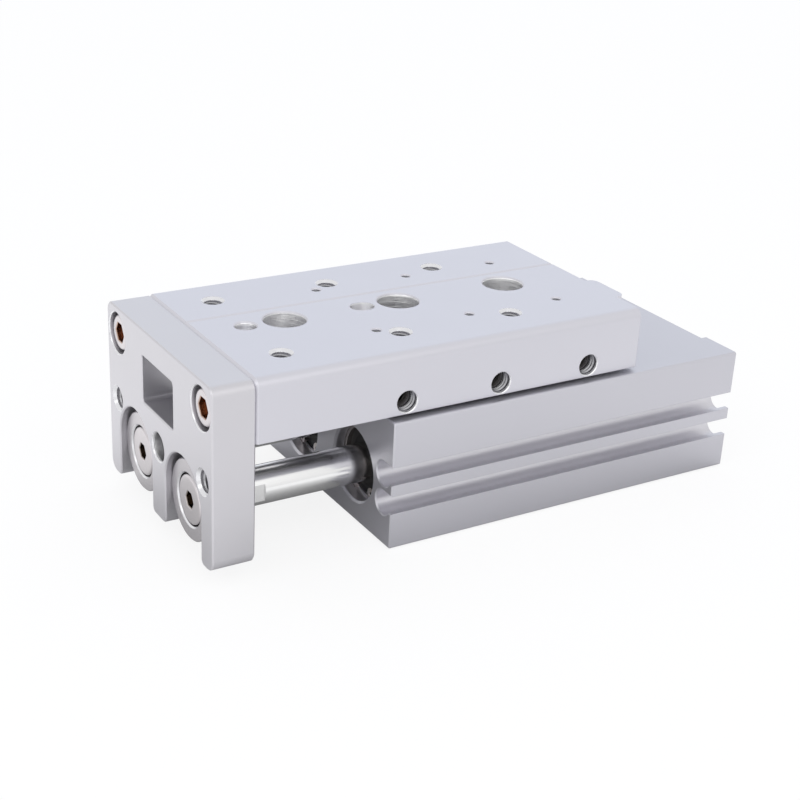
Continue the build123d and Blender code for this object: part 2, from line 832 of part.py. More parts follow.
def retaining_ring(x0, bore, y):
    # An open spring ring with two lugs beside its gap, which is at the bottom.
    radius = bore / 2 + ring_groove_depth - fit
    inner = radius - ring_width
    band = Circle(radius) - Circle(inner)
    reach = 2 * radius
    half = radians(ring_opening / 2)
    wide = reach * sin(half)
    low = -reach * cos(half)
    band -= make_face(Polyline((0, 0), (wide, low), (-wide, low), close=True))
    angle = half + radians(ring_lug_turn)
    place = inner - ring_lug_rise
    for side in (-1, 1):
        spot = Pos(side * place * sin(angle), -place * cos(angle))
        band += spot * Circle(ring_lug_radius)
        band -= spot * Circle(ring_lug_hole / 2)
    return along_x(Pos(y, axis_height) * band, x0, x0 + ring_thickness)


def make_front_retaining_rings():
    return group(retaining_ring(cover_front - ring_thickness, mouth_diameter, y) for y in bore_places)


def make_rear_retaining_rings():
    return group(retaining_ring(cap_rear, head_bore_diameter, y) for y in bore_places)


near, far = bore_places
nodes = {
    "cylinder_body": make_cylinder_body(),
    "guide_rail": make_guide_rail(),
    "guide_rail_screws": make_guide_rail_screws(),
    "cage_stop_screws": make_cage_stop_screws(),
    "rod_cover_near": make_rod_cover(near),
    "rod_cover_far": make_rod_cover(far),
    "rod_seals": make_rod_seals(),
    "rod_bushings": make_rod_bushings(),
    "cover_o_rings": make_cover_o_rings(),
    "front_retaining_rings": make_front_retaining_rings(),
    "front_bumpers": make_bumpers(cover_rear),
    "head_cap_near": make_head_cap(near),
    "head_cap_far": make_head_cap(far),
    "head_cap_o_rings": make_head_cap_o_rings(),
    "rear_retaining_rings": make_rear_retaining_rings(),
    "rear_bumpers": make_bumpers(cap_front - bumper_length),
    "slide_table": make_slide_table(),
    "table_rail_near": make_table_rail(-1),
    "table_rail_far": make_table_rail(1),
    "table_rail_screws": make_table_rail_screws(),
    "preload_screws": make_preload_screws(),
    "end_plate": make_end_plate(),
    "end_plate_screws": make_end_plate_screws(),
    "floating_bushing_near": make_floating_bushing(near),
    "floating_bushing_far": make_floating_bushing(far),
    "rod_end_screw_near": make_rod_end_screw(near),
    "rod_end_screw_far": make_rod_end_screw(far),
    "piston_rod_near": make_piston_rod(near),
    "piston_rod_far": make_piston_rod(far),
    "piston_near": make_piston(near),
    "piston_far": make_piston(far),
    "piston_nuts": make_piston_nuts(),
    "piston_seals": make_piston_seals(),
    "piston_magnets": make_piston_magnets(),
    "wear_rings": make_wear_rings(),
    "roller_cage_near": make_roller_cage(-1),
    "roller_cage_far": make_roller_cage(1),
    "rollers_near": make_rollers(-1),
    "rollers_far": make_rollers(1),
}

os.makedirs("parts", exist_ok=True)
for name, shape in nodes.items():
    export_step(shape, f"parts/{name}.step")
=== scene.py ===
# %% [markdown]
# A slide table cylinder, dressed for its picture. On the real machine part a flat table rides on a block
# that holds two air cylinders, and an end plate joins the table to the two chromed piston rods. The solids
# come ready from the CAD frame, so this script gives them their finishes, cuts the screw threads that the
# solids leave out, and sets up a plain studio.

# %% Load the frame
import json
import math

import bpy
import numpy as np
from mathutils import Matrix, Vector


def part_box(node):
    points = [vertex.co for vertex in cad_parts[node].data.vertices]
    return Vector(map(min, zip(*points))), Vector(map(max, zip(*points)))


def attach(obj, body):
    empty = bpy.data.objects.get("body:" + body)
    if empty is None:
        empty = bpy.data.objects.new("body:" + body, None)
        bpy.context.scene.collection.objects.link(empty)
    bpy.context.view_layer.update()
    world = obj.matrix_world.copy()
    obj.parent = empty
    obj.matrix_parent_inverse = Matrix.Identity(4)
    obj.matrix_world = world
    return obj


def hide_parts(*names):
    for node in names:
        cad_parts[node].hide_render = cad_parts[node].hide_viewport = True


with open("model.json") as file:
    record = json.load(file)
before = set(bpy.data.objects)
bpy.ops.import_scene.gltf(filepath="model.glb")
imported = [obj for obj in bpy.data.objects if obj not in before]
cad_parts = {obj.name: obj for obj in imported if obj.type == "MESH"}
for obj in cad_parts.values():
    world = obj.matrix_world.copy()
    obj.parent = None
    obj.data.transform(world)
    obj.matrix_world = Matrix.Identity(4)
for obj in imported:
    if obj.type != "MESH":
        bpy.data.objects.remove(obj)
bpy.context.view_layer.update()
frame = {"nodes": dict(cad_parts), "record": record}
record = frame["record"]
nodes = frame["nodes"]
MM = 0.001

# %% [markdown]
# The camera stands where the photographer's stood: in front of the end plate, to the near side and above.
# Three angles describe that view better than a matrix would, so the turn is built up from them, and the
# place is given in millimetres from the middle mounting hole of the body.

# %% Camera
CAMERA_PLACE = (-208.0, -286.2, 171.0)
CAMERA_AZIMUTH = -32.16
CAMERA_ELEVATION = 23.96
CAMERA_ROLL = 2.91
CAMERA_LENS = 68.27


def camera_turn(azimuth, elevation, roll):
    """Looks along +Y, tips down by elevation, turns about Z by azimuth and rolls about its line of sight."""
    level = Matrix.Rotation(math.radians(90 - elevation), 3, "X")
    turned = Matrix.Rotation(math.radians(azimuth), 3, "Z") @ level
    return turned @ Matrix.Rotation(math.radians(roll), 3, "Z")


camera_data = bpy.data.cameras.new("photo_camera")
camera_data.lens = CAMERA_LENS
camera_data.clip_start = 0.01
camera_data.clip_end = 20.0
camera = bpy.data.objects.new("photo_camera", camera_data)
camera.matrix_world = camera_turn(CAMERA_AZIMUTH, CAMERA_ELEVATION, CAMERA_ROLL).to_4x4()
camera.location = Vector(CAMERA_PLACE) * MM
bpy.context.scene.collection.objects.link(camera)
bpy.context.scene.camera = camera
bpy.context.scene.view_settings.view_transform = "Standard"
print("camera stands", round(camera.location.length, 3), "m from the origin")

# %% [markdown]
# A finish, a lit world and a glowing floor are all drawn as nodes that pass values along links. Written out
# in full, each node takes three or four lines. These helpers make one node each and accept a number or a
# socket wherever a node does, so that the cells below read like the formula they stand for.


# %% Helpers for shader nodes
def add(tree, kind, **settings):
    """A node of that kind. Settings named after a property set it, and the others set an input by name."""
    node = tree.nodes.new(kind)
    for key, value in settings.items():
        if hasattr(node, key):
            setattr(node, key, value)
        else:
            node.inputs[key.replace("_", " ")].default_value = value
    return node


def feed(tree, target, value):
    """Gives an input socket its value: a number or tuple, a socket, or a node's first output."""
    if hasattr(value, "outputs"):
        value = value.outputs[0]
    if isinstance(value, bpy.types.NodeSocket):
        tree.links.new(value, target)
    else:
        target.default_value = value


def calculate(tree, operation, *values):
    """The result of one step of arithmetic on numbers or sockets."""
    node = add(tree, "ShaderNodeMath", operation=operation)
    for target, value in zip(node.inputs, values):
        feed(tree, target, value)
    return node.outputs["Value"]


def calculate_vector(tree, operation, *values, result=0):
    """The result of one step of arithmetic on vectors. Lengths and dot products come out at result 1."""
    node = add(tree, "ShaderNodeVectorMath", operation=operation)
    for target, value in zip(node.inputs, values):
        feed(tree, target, value)
    return node.outputs[result]


def stretch_range(tree, value, old, new, **settings):
    """Takes a value from the range old to the range new, and holds it at the ends."""
    node = add(tree, "ShaderNodeMapRange", **settings)
    for name, number in zip(("From Min", "From Max", "To Min", "To Max"), (*old, *new)):
        node.inputs[name].default_value = number
    feed(tree, node.inputs["Value"], value)
    return node.outputs["Result"]


def blend_numbers(tree, factor, first, second):
    """first where the factor is 0 and second where it is 1."""
    node = add(tree, "ShaderNodeMix", data_type="FLOAT")
    for target, value in zip((node.inputs[0], node.inputs[2], node.inputs[3]), (factor, first, second)):
        feed(tree, target, value)
    return node.outputs[0]


def blend_shaders(tree, factor, first, second):
    """The first shader where the factor is 0 and the second where it is 1."""
    node = add(tree, "ShaderNodeMixShader")
    for target, value in zip(node.inputs, (factor, first, second)):
        feed(tree, target, value)
    return node


print("node helpers ready")

# %% [markdown]
# The picture was taken in a white light tent. The tent is white for the camera and for mirror rays, so
# polished steel shows it, and it is a little weaker as a source of light. Light Path tells the two apart.

# %% World
WORLD_LIGHT = 0.80
MIRROR_RAYS = ("Is Glossy Ray", "Is Transmission Ray")
SEEN_RAYS = ("Is Camera Ray", *MIRROR_RAYS)


def sum_of_rays(tree, names):
    """1 for the rays that are named, such as camera or mirror rays, and 0 for all others."""
    path = add(tree, "ShaderNodeLightPath")
    total = path.outputs[names[0]]
    for name in names[1:]:
        total = calculate(tree, "MAXIMUM", total, path.outputs[name])
    return total


world = bpy.data.worlds.new("light_tent")
bpy.context.scene.world = world
world.use_nodes = True
tree = world.node_tree
tree.nodes.clear()
lit = add(tree, "ShaderNodeBackground", Color=(0.96, 0.97, 1.0, 1.0), Strength=WORLD_LIGHT)
seen = add(tree, "ShaderNodeBackground", Color=(1.0, 1.0, 1.0, 1.0), Strength=1.0)
tent = blend_shaders(tree, sum_of_rays(tree, SEEN_RAYS), lit, seen)
feed(tree, add(tree, "ShaderNodeOutputWorld").inputs["Surface"], tent)
print("world light", WORLD_LIGHT)

# %% [markdown]
# A tent alone leaves metal flat. A large soft lamp on the near side lights the table's rounded edge, a weak
# cool one behind gives the flat tops their bluish tone, and a small one at the front left is there for the
# thin bright crescents at the holes. They are weak, because the tent already gives most of the light.

# %% Lamps
MIDDLE = (-0.02, 0.0, 0.025)
WARM_WHITE, WHITE, COOL_BLUE = (1.0, 0.99, 0.97), (1.0, 1.0, 1.0), (0.20, 0.52, 1.0)


def area_lamp(name, place, size, watts, colour):
    """A rectangular lamp at a place in metres that shines on the object. Size is its width and height."""
    data = bpy.data.lights.new(name, "AREA")
    data.shape = "RECTANGLE"
    data.size, data.size_y = size
    data.energy = watts
    data.color = colour
    lamp = bpy.data.objects.new(name, data)
    lamp.location = place
    lamp.rotation_euler = (Vector(MIDDLE) - Vector(place)).to_track_quat("-Z", "Y").to_euler()
    bpy.context.scene.collection.objects.link(lamp)


area_lamp("edge_lamp", (-0.20, -0.85, 0.50), (1.1, 1.3), 2.3, WARM_WHITE)
area_lamp("cool_lamp", (0.45, 0.72, 0.42), (0.9, 0.9), 0.35, COOL_BLUE)
area_lamp("rim_lamp", (-0.75, -0.20, 0.50), (0.5, 0.5), 0.55, WHITE)
print("three lamps")

# %% [markdown]
# The object stands on white paper. Paper that is only lit would come out grey beside the white background,
# so for the rays that show the background it glows as well. Part of it stays plain paper, and that part
# keeps the soft shadow under the object. In mirror rays the glow gets weaker close to the object, as a
# shadow would look in the chrome, and a little weaker on the right, which gives the long sides their slope
# from light to dark.

# %% Paper
PAPER_COLOUR = (0.86, 0.86, 0.87, 1.0)
GLOW_STRENGTH = 1.06
GLOW_SHARE = 0.80
SHADE_REACH = 0.05
SHADE_POWER = 1.8
MIRRORED_GLOW = (0.10, 1.20)
FADE_PLACES = (-0.10, 0.30)
FADE_SHARES = (1.03, 0.86)


def paper_glow(tree):
    """How strongly the paper glows: GLOW_STRENGTH, in mirror rays times a shade and a slope along X."""
    openness = add(tree, "ShaderNodeAmbientOcclusion", samples=8, Distance=SHADE_REACH)
    falling = calculate(tree, "POWER", openness.outputs["AO"], SHADE_POWER)
    shade = stretch_range(tree, falling, (0.0, 1.0), MIRRORED_GLOW)
    across = add(tree, "ShaderNodeSeparateXYZ")
    feed(tree, across.inputs["Vector"], add(tree, "ShaderNodeTexCoord").outputs["Object"])
    slope = stretch_range(tree, across.outputs["X"], FADE_PLACES, FADE_SHARES, interpolation_type="SMOOTHSTEP")
    mirrored = calculate(tree, "MULTIPLY", shade, slope)
    level = blend_numbers(tree, sum_of_rays(tree, MIRROR_RAYS), 1.0, mirrored)
    return calculate(tree, "MULTIPLY", level, GLOW_STRENGTH)


paper = bpy.data.materials.new("white_paper")
paper.use_nodes = True
tree = paper.node_tree
tree.nodes.clear()
plain = add(tree, "ShaderNodeBsdfDiffuse", Color=PAPER_COLOUR)
glow = add(tree, "ShaderNodeEmission", Color=(1.0, 1.0, 1.0, 1.0))
feed(tree, glow.inputs["Strength"], paper_glow(tree))
share = calculate(tree, "MULTIPLY", sum_of_rays(tree, SEEN_RAYS), GLOW_SHARE)
feed(tree, add(tree, "ShaderNodeOutputMaterial").inputs["Surface"], blend_shaders(tree, share, plain, glow))
print("paper glows with", GLOW_STRENGTH)

# %% [markdown]
# The sheet itself is a large disc, so that no straight edge of it can show. All new meshes of this file are
# made the same way: numpy works out the points as arrays, and one function turns them into an object at the
# origin, with its place in the points themselves.

# %% Floor
FLOOR_RADIUS = 3.0
FLOOR_DROP = 0.0002
FLOOR_CORNERS = 96


def new_piece(name, points, faces, smooth=True):
    """A mesh object at the origin, in metres, from an array of points and a list of faces."""
    mesh = bpy.data.meshes.new(name)
    mesh.from_pydata(points.tolist(), [], faces)
    mesh.update()
    mesh.polygons.foreach_set("use_smooth", np.full(len(mesh.polygons), smooth))
    piece = bpy.data.objects.new(name, mesh)
    bpy.context.scene.collection.objects.link(piece)
    return piece


def disc(radius, height, count):
    """A flat round sheet: a fan between the points (radius cos t, radius sin t, height) and the middle."""
    turn = np.arange(count) * 2 * np.pi / count
    circle = np.stack([radius * np.cos(turn), radius * np.sin(turn), np.full(count, height)], axis=1)
    first = np.arange(count)
    faces = np.stack([first, (first + 1) % count, np.full(count, count)], axis=1)
    return np.vstack([circle, [[0.0, 0.0, height]]]), faces.tolist()


floor = new_piece("floor", *disc(FLOOR_RADIUS, -FLOOR_DROP, FLOOR_CORNERS), smooth=False)
floor.data.materials.append(paper)
print("floor", FLOOR_RADIUS, "m in radius")

# %% [markdown]
# Three marks come back in most of the metals: the fine grain of a blasted or anodised skin, the straight
# lines that a die or a grinding wheel leaves, and the rings of a lathe. Each becomes one shader group with
# named inputs, so that a finish only states how coarse it is. The grain comes first: a fine noise for the
# bump, and a slow one that lets the roughness swing, because no real skin is evenly matt.


# %% Shader group for a fine grain
def new_group(name, inputs, outputs):
    """An empty shader group. Inputs map a socket's name to its kind and default, and outputs lists names."""
    group = bpy.data.node_groups.new(name, "ShaderNodeTree")
    for label in outputs:
        group.interface.new_socket(label, in_out="OUTPUT", socket_type="NodeSocketFloat")
    for label, (kind, default) in inputs.items():
        socket = group.interface.new_socket(label, in_out="INPUT", socket_type=kind)
        if default is not None:
            socket.default_value = default
    return group, group.nodes.new("NodeGroupInput"), group.nodes.new("NodeGroupOutput")


def fine_grain_group():
    """Height is a fine noise. Roughness is its middle value plus Swing times a slow noise about zero."""
    inputs = {
        "Vector": ("NodeSocketVector", None),
        "Grains per metre": ("NodeSocketFloat", 4000.0),
        "Roughness": ("NodeSocketFloat", 0.4),
        "Swing": ("NodeSocketFloat", 0.05),
    }
    group, source, sink = new_group("fine_grain", inputs, ("Height", "Roughness"))
    grain = add(group, "ShaderNodeTexNoise", Detail=2.0, Roughness=0.6)
    feed(group, grain.inputs["Vector"], source.outputs["Vector"])
    feed(group, grain.inputs["Scale"], source.outputs["Grains per metre"])
    cloud = add(group, "ShaderNodeTexNoise", Scale=90.0, Detail=3.0)
    feed(group, cloud.inputs["Vector"], source.outputs["Vector"])
    centred = calculate(group, "SUBTRACT", cloud, 0.5)
    swung = calculate(group, "MULTIPLY_ADD", centred, source.outputs["Swing"], source.outputs["Roughness"])
    feed(group, sink.inputs["Height"], grain)
    feed(group, sink.inputs["Roughness"], swung)
    return group


FINE_GRAIN = fine_grain_group()
print("group", FINE_GRAIN.name)

# %% [markdown]
# Extruded and ground faces carry straight lines. The same noise makes them, when the point is squeezed
# almost to nothing along one axis before the noise reads it: what is squeezed is drawn out long.


# %% Shader group for straight lines
def straight_lines_group():
    """Noise read at the point times Along, so that a small share in Along draws lines along that axis."""
    inputs = {
        "Vector": ("NodeSocketVector", None),
        "Lines per metre": ("NodeSocketFloat", 3000.0),
        "Along": ("NodeSocketVector", (0.01, 1.0, 1.0)),
    }
    group, source, sink = new_group("straight_lines", inputs, ("Height",))
    squeezed = calculate_vector(group, "MULTIPLY", source.outputs["Vector"], source.outputs["Along"])
    lines = add(group, "ShaderNodeTexNoise", Detail=2.0, Roughness=0.5)
    feed(group, lines.inputs["Vector"], squeezed)
    feed(group, lines.inputs["Scale"], source.outputs["Lines per metre"])
    feed(group, sink.inputs["Height"], lines)
    return group


STRAIGHT_LINES = straight_lines_group()
print("group", STRAIGHT_LINES.name)

# %% [markdown]
# Turned faces carry rings. A sine of the distance from the turning axis gives them, and unlike a stretched
# noise it closes on itself round the axis.


# %% Shader group for lathe rings
def lathe_rings_group():
    """Sine of 2 pi times Rings per metre times the distance from an axis through the origin."""
    inputs = {
        "Vector": ("NodeSocketVector", None),
        "Rings per metre": ("NodeSocketFloat", 5000.0),
        "Across": ("NodeSocketVector", (0.0, 1.0, 1.0)),
    }
    group, source, sink = new_group("lathe_rings", inputs, ("Height",))
    flat = calculate_vector(group, "MULTIPLY", source.outputs["Vector"], source.outputs["Across"])
    distance = calculate_vector(group, "LENGTH", flat, result=1)
    turns = calculate(group, "MULTIPLY", distance, source.outputs["Rings per metre"])
    angle = calculate(group, "MULTIPLY", turns, 2 * math.pi)
    feed(group, sink.inputs["Height"], calculate(group, "SINE", angle))
    return group


LATHE_RINGS = lathe_rings_group()
print("group", LATHE_RINGS.name)

# %% [markdown]
# Edges get a painted highlight: their colour is made a little brighter. The Bevel node rounds the
# normal near an edge, so where it leans away from the true normal there must be an edge.

# %% Shader group that finds edges
EDGE_RANGE = (0.995, 0.90)


def edge_finder_group():
    """0 where the dot product of the rounded and the true normal is 0.995 or more, and 1 where it is 0.90."""
    inputs = {"Rounded": ("NodeSocketVector", None), "True": ("NodeSocketVector", None)}
    group, source, sink = new_group("edge_finder", inputs, ("Edge",))
    rounded, true = source.outputs["Rounded"], source.outputs["True"]
    alike = calculate_vector(group, "DOT_PRODUCT", rounded, true, result=1)
    feed(group, sink.inputs["Edge"], stretch_range(group, alike, EDGE_RANGE, (0.0, 1.0)))
    return group


EDGE_FINDER = edge_finder_group()
print("group", EDGE_FINDER.name)

# %% [markdown]
# Before the finishes come three small parts that they share: putting a group into a material, blending two
# colours, and the point on the object that all the marks are read at. Rods, bushings and caps come in
# pairs on either side of the middle, so that point can be folded over, and one axis then serves both.


# %% Parts that the finishes share
def put_group(tree, group, **values):
    """Puts a shader group into a material and sets its named inputs, with underscores for spaces."""
    node = tree.nodes.new("ShaderNodeGroup")
    node.node_tree = group
    for key, value in values.items():
        feed(tree, node.inputs[key.replace("_", " ")], value)
    return node


def blend_colours(tree, factor, first, second):
    """The first colour where the factor is 0 and the second where it is 1. Each is a triple or a socket."""
    node = add(tree, "ShaderNodeMix", data_type="RGBA")
    feed(tree, node.inputs[0], factor)
    for target, value in ((node.inputs[6], first), (node.inputs[7], second)):
        feed(tree, target, (*value, 1.0) if isinstance(value, tuple) else value)
    return node.outputs[2]


def object_point(tree, centre, mirrored):
    """The point on the object in metres, from centre in mm. Mirrored takes (x, y, z) to (x, |y|, z) first."""
    point = add(tree, "ShaderNodeTexCoord").outputs["Object"]
    if mirrored:
        flipped = calculate_vector(tree, "MULTIPLY", point, (1.0, -1.0, 1.0))
        point = calculate_vector(tree, "MAXIMUM", point, flipped)
    return calculate_vector(tree, "SUBTRACT", point, tuple(c * MM for c in centre))


print("shared parts ready")

# %% [markdown]
# Nearly every surface here is metal, so one function lays out the nodes that all of them share: a
# Principled shader, a bump on a rounded normal, a painted highlight on edges, and a painted tone in holes and
# grooves, found with Ambient Occlusion: painted shade where it is darker and painted light where it is
# brighter. What differs is passed in as numbers: colour, roughness, which marks the tool left and how deep.
# Plastics and rubbers use it too, with no metal in them.

# %% A shared layout for the finishes
FINISHES = {}
BUMP_HEIGHT = 0.0002
SWING = 0.05
DEEP_RANGE = (0.15, 0.85)


def tool_marks(tree, point, skin, lines, rings):
    """The height for the bump: straight lines or lathe rings where the piece has them, or else the grain."""
    if lines:
        return put_group(tree, STRAIGHT_LINES, Vector=point, Lines_per_metre=lines[0], Along=lines[1])
    if rings:
        return put_group(tree, LATHE_RINGS, Vector=point, Rings_per_metre=rings[0], Across=rings[1])
    return skin.outputs["Height"]


def finish(name, colour, roughness, metallic=1.0, grain=4000.0, bump=0.02, edge_mm=0.12, edge_highlight_gain=1.12,
           lines=None, rings=None, centre=(0.0, 0.0, 0.0), mirrored=False,
           deep=0.45, deep_tint=(1.0, 1.0, 1.0), deep_mm=4.0, deep_roughness=None):
    """A finish. lines is (lines per metre, along), and rings is (rings per metre, across). Edges get a
    painted highlight in a brighter colour. In holes and corners narrower than deep_mm the colour goes to its
    share deep, times deep_tint: painted shade where deep is below 1 and painted light where it is above 1.
    The roughness there goes to deep_roughness."""
    material = bpy.data.materials.new(name)
    material.use_nodes = True
    tree = material.node_tree
    shader = tree.nodes["Principled BSDF"]
    shader.inputs["Metallic"].default_value = metallic
    point = object_point(tree, centre, mirrored)
    skin = put_group(tree, FINE_GRAIN, Vector=point, Grains_per_metre=grain, Roughness=roughness, Swing=SWING)
    rounded = add(tree, "ShaderNodeBevel", Radius=edge_mm * MM, samples=4)
    relief = add(tree, "ShaderNodeBump", Strength=bump, Distance=BUMP_HEIGHT)
    feed(tree, relief.inputs["Height"], tool_marks(tree, point, skin, lines, rings))
    feed(tree, relief.inputs["Normal"], rounded)
    feed(tree, shader.inputs["Normal"], relief)
    true_normal = add(tree, "ShaderNodeNewGeometry").outputs["Normal"]
    edges = put_group(tree, EDGE_FINDER, Rounded=rounded)
    feed(tree, edges.inputs["True"], true_normal)
    openness = add(tree, "ShaderNodeAmbientOcclusion", samples=3, only_local=True, Distance=deep_mm * MM)
    in_the_open = stretch_range(tree, openness.outputs["AO"], DEEP_RANGE, (0.0, 1.0))
    # Painted highlight: the colour made brighter along edges.
    painted_edge_highlight = tuple(min(1.0, c * edge_highlight_gain) for c in colour)
    # Painted tone in holes and grooves: painted shade where deep is below 1, painted light where it is above
    # 1.
    painted_recess_tone = tuple(c * deep * t for c, t in zip(colour, deep_tint))
    shown = blend_colours(tree, edges, colour, painted_edge_highlight)
    feed(tree, shader.inputs["Base Color"], blend_colours(tree, in_the_open, painted_recess_tone, shown))
    matt = skin.outputs["Roughness"]
    if deep_roughness is not None:
        matt = blend_numbers(tree, in_the_open, deep_roughness, matt)
    feed(tree, shader.inputs["Roughness"], matt)
    FINISHES[name] = material


print("layout ready")

# %% [markdown]
# Body, table and end plate are aluminium with a clear anodic skin: a milky grey with a touch of blue, half
# mirror and half matt, which is why they aren't fully metallic. The body is a piece of extrusion and has
# its lines along X. The grooves and bores of all three throw light back and forth, which the skin's own
# colour would make too dark, so their colour is painted brighter than the outside: painted light in them.

# %% Anodised aluminium
finish("anodised_body", (0.575, 0.57, 0.615), 0.40, metallic=0.8, bump=0.05,
       lines=(2600.0, (0.004, 1.0, 1.0)), deep=1.65, deep_tint=(1.0, 0.995, 0.95),
       deep_mm=6.0, edge_highlight_gain=1.0)
finish("anodised_table", (0.63, 0.625, 0.675), 0.38, metallic=0.85, deep=1.15, deep_mm=8.0,
       deep_roughness=0.3)
finish("anodised_plate", (0.61, 0.60, 0.63), 0.38, metallic=0.85, deep=1.1, deep_roughness=0.22)
print(len(FINISHES), "finishes")

# %% [markdown]
# Where a tool has cut through the skin the metal is bare. Countersinks are a brighter colour for it, and
# that colour is also a painted highlight. The bored walls in the table are painted brighter, as painted
# light, and threads are painted darker, as painted shade for the way each flank shades the next one. Bored
# walls have rings along their depth, so their lines are squeezed in the two directions across the bore.
# The head caps and pistons have no skin at all, and carry the rings of a lathe round the rod's axis.

# %% Bare aluminium
ROD_SIDE, ROD_HEIGHT = 13.4, 13.9
ROD_AXIS = (0.0, ROD_SIDE, ROD_HEIGHT)
ROUND_X = (0.0, 1.0, 1.0)
finish("cut_thread", (0.36, 0.36, 0.375), 0.25, grain=9000.0)
finish("turned_rim", (0.74, 0.74, 0.76), 0.22, deep=1.0)
finish("bored_wall", (0.88, 0.88, 0.89), 0.30, bump=0.6, lines=(9000.0, (0.01, 0.01, 1.0)), deep=1.0)
finish("bored_front", (0.56, 0.56, 0.57), 0.30, bump=0.4, lines=(9000.0, (1.0, 0.01, 0.01)), deep=1.0)
finish("machined_aluminium", (0.70, 0.70, 0.71), 0.30, rings=(3000.0, ROUND_X), centre=ROD_AXIS,
       mirrored=True, bump=0.08)
print(len(FINISHES), "finishes")

# %% [markdown]
# The steels differ more in polish than in colour. Guide rails are ground along X, rollers and rods are
# nearly mirrors, bushings are turned, and screws and spring rings are a warmer grey. The bronze of the rod
# bearings is the one yellow metal. In their recesses the screws are painted much darker and browner: a
# painted shade, tinted brown for thread oil.

# %% Steel and bronze
finish("ground_steel", (0.56, 0.56, 0.57), 0.28, bump=0.06, lines=(5000.0, (0.01, 1.0, 1.0)))
finish("bearing_steel", (0.72, 0.72, 0.73), 0.12)
# Painted shade in the recesses of the screws, tinted brown.
finish("screw_steel", (0.60, 0.575, 0.565), 0.22, edge_mm=0.2, edge_highlight_gain=1.4, deep=0.22,
       deep_tint=(1.25, 0.85, 0.65), deep_mm=3.0)
finish("black_steel", (0.09, 0.085, 0.08), 0.42)
finish("bushing_steel", (0.55, 0.53, 0.55), 0.26, rings=(4000.0, ROUND_X), centre=ROD_AXIS, mirrored=True,
       bump=0.05)
finish("chromed_rod", (0.80, 0.80, 0.80), 0.19, edge_highlight_gain=1.0, bump=0.01, deep=1.0)
finish("spring_steel", (0.68, 0.63, 0.60), 0.16, deep=0.9, edge_highlight_gain=1.4)
finish("bearing_bronze", (0.50, 0.36, 0.19), 0.45, grain=6000.0)
print(len(FINISHES), "finishes")

# %% [markdown]
# Resins, magnets and rubbers have no metallic part. The roller cages are a cream resin, and the rod covers
# and wear rings are dark ones. The seals are a black rubber, and the bumpers a brown one.

# %% Resin and rubber
finish("cage_resin", (0.72, 0.68, 0.55), 0.50, metallic=0.0)
finish("cover_resin", (0.02, 0.02, 0.022), 0.38, metallic=0.0)
finish("wear_resin", (0.05, 0.05, 0.055), 0.50, metallic=0.0)
finish("magnet", (0.06, 0.055, 0.055), 0.55, metallic=0.0)
finish("seal_rubber", (0.015, 0.015, 0.015), 0.55, metallic=0.0)
finish("bumper_rubber", (0.12, 0.09, 0.03), 0.55, metallic=0.0)
print(len(FINISHES), "finishes")

# %% [markdown]
# The screws that face the camera are modelled anew further down, and their mesh knows which of its points
# lie in the socket. A second colour under the first one shows there: brown oil in the end plate's screws,
# and darker, older oil in those of the rod ends.

# %% Oil in the sockets
CAP_SCREW_STEEL = (0.61, 0.58, 0.595)
SOCKET_OILS = {"cap_screw": (0.46, 0.29, 0.20), "rod_screw": (0.20, 0.16, 0.125)}

for name, oil in SOCKET_OILS.items():
    finish(name, CAP_SCREW_STEEL, 0.22, edge_highlight_gain=1.4, deep=0.8, deep_mm=2.0)
    tree = FINISHES[name].node_tree
    base = tree.nodes["Principled BSDF"].inputs["Base Color"]
    clean = base.links[0].from_socket
    in_socket = add(tree, "ShaderNodeAttribute", attribute_name="in_socket").outputs["Fac"]
    feed(tree, base, blend_colours(tree, in_socket, clean, oil))
print("oil in", len(SOCKET_OILS), "finishes")

# %% [markdown]
# Each node of the CAD names the finish that it is made with, so one loop dresses all of them.

# %% Dress the nodes
for part in record["subparts"]:
    mesh = nodes[part["node"]].data
    mesh.materials.clear()
    mesh.materials.append(FINISHES[part["material_slot"]])
print(len(FINISHES), "finishes for", len(record["subparts"]), "nodes")

# %% [markdown]
# The meshes that follow are all rows of points, each row a closed ring, with quads between neighbouring
# rows. Equal copies of a shape, one for each hole, go into one piece.


# %% Faces between rows of points
def ring_faces(rows, columns, closed=False):
    """Quads between neighbouring rows of points, each a ring. Closed also joins the last row to the first."""
    index = np.arange(rows if closed else rows - 1)[:, None]
    here, below = index * columns, (index + 1) % rows * columns
    column = np.arange(columns)[None, :]
    after = (column + 1) % columns
    return np.stack([here + column, here + after, below + after, below + column], axis=2).reshape(-1, 4)


def repeat_faces(faces, copies, count):
    """The same faces for each copy of a shape that has count points."""
    return np.concatenate([faces + i * count for i in range(copies)]).tolist()


print("row helpers ready")

# %% [markdown]
# The holes lie where the CAD has them. Their places follow from the boxes of table, plate and body and
# from a few spacings in millimetres. Each hole is its mouth and the direction into the metal.

# %% Places of the holes
TOP_START, TOP_STEP, TOP_SIDE = 11.5, 30.0, 17.5
SCREW_START, SCREW_STEP, SCREW_SIDE, SIDE_HEIGHT = 37.0, 25.0, 14.35, 35.1
PLATE_THREAD_SIDE, PLATE_THREAD_HEIGHT, PLATE_BORE_HEIGHT = 24.0, 23.5, 21.2
PLATE_SCREW_SIDE, PLATE_SCREW_DROP, BUSHING_RECESS = 23.2, 6.4, 1.5
BASE_X, BASE_Y, PORT_PLACES = 35.0, 22.0, (-23.5, 35.1)
UP, DOWN, REARWARD = (0.0, 0.0, 1.0), (0.0, 0.0, -1.0), (1.0, 0.0, 0.0)
TO_FAR_SIDE, TO_NEAR_SIDE = (0.0, 1.0, 0.0), (0.0, -1.0, 0.0)
SIDES = (-1, 1)


def box_mm(node):
    """The lowest and highest corner of a node's box in millimetres."""
    low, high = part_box(node)
    return np.array(low) / MM, np.array(high) / MM


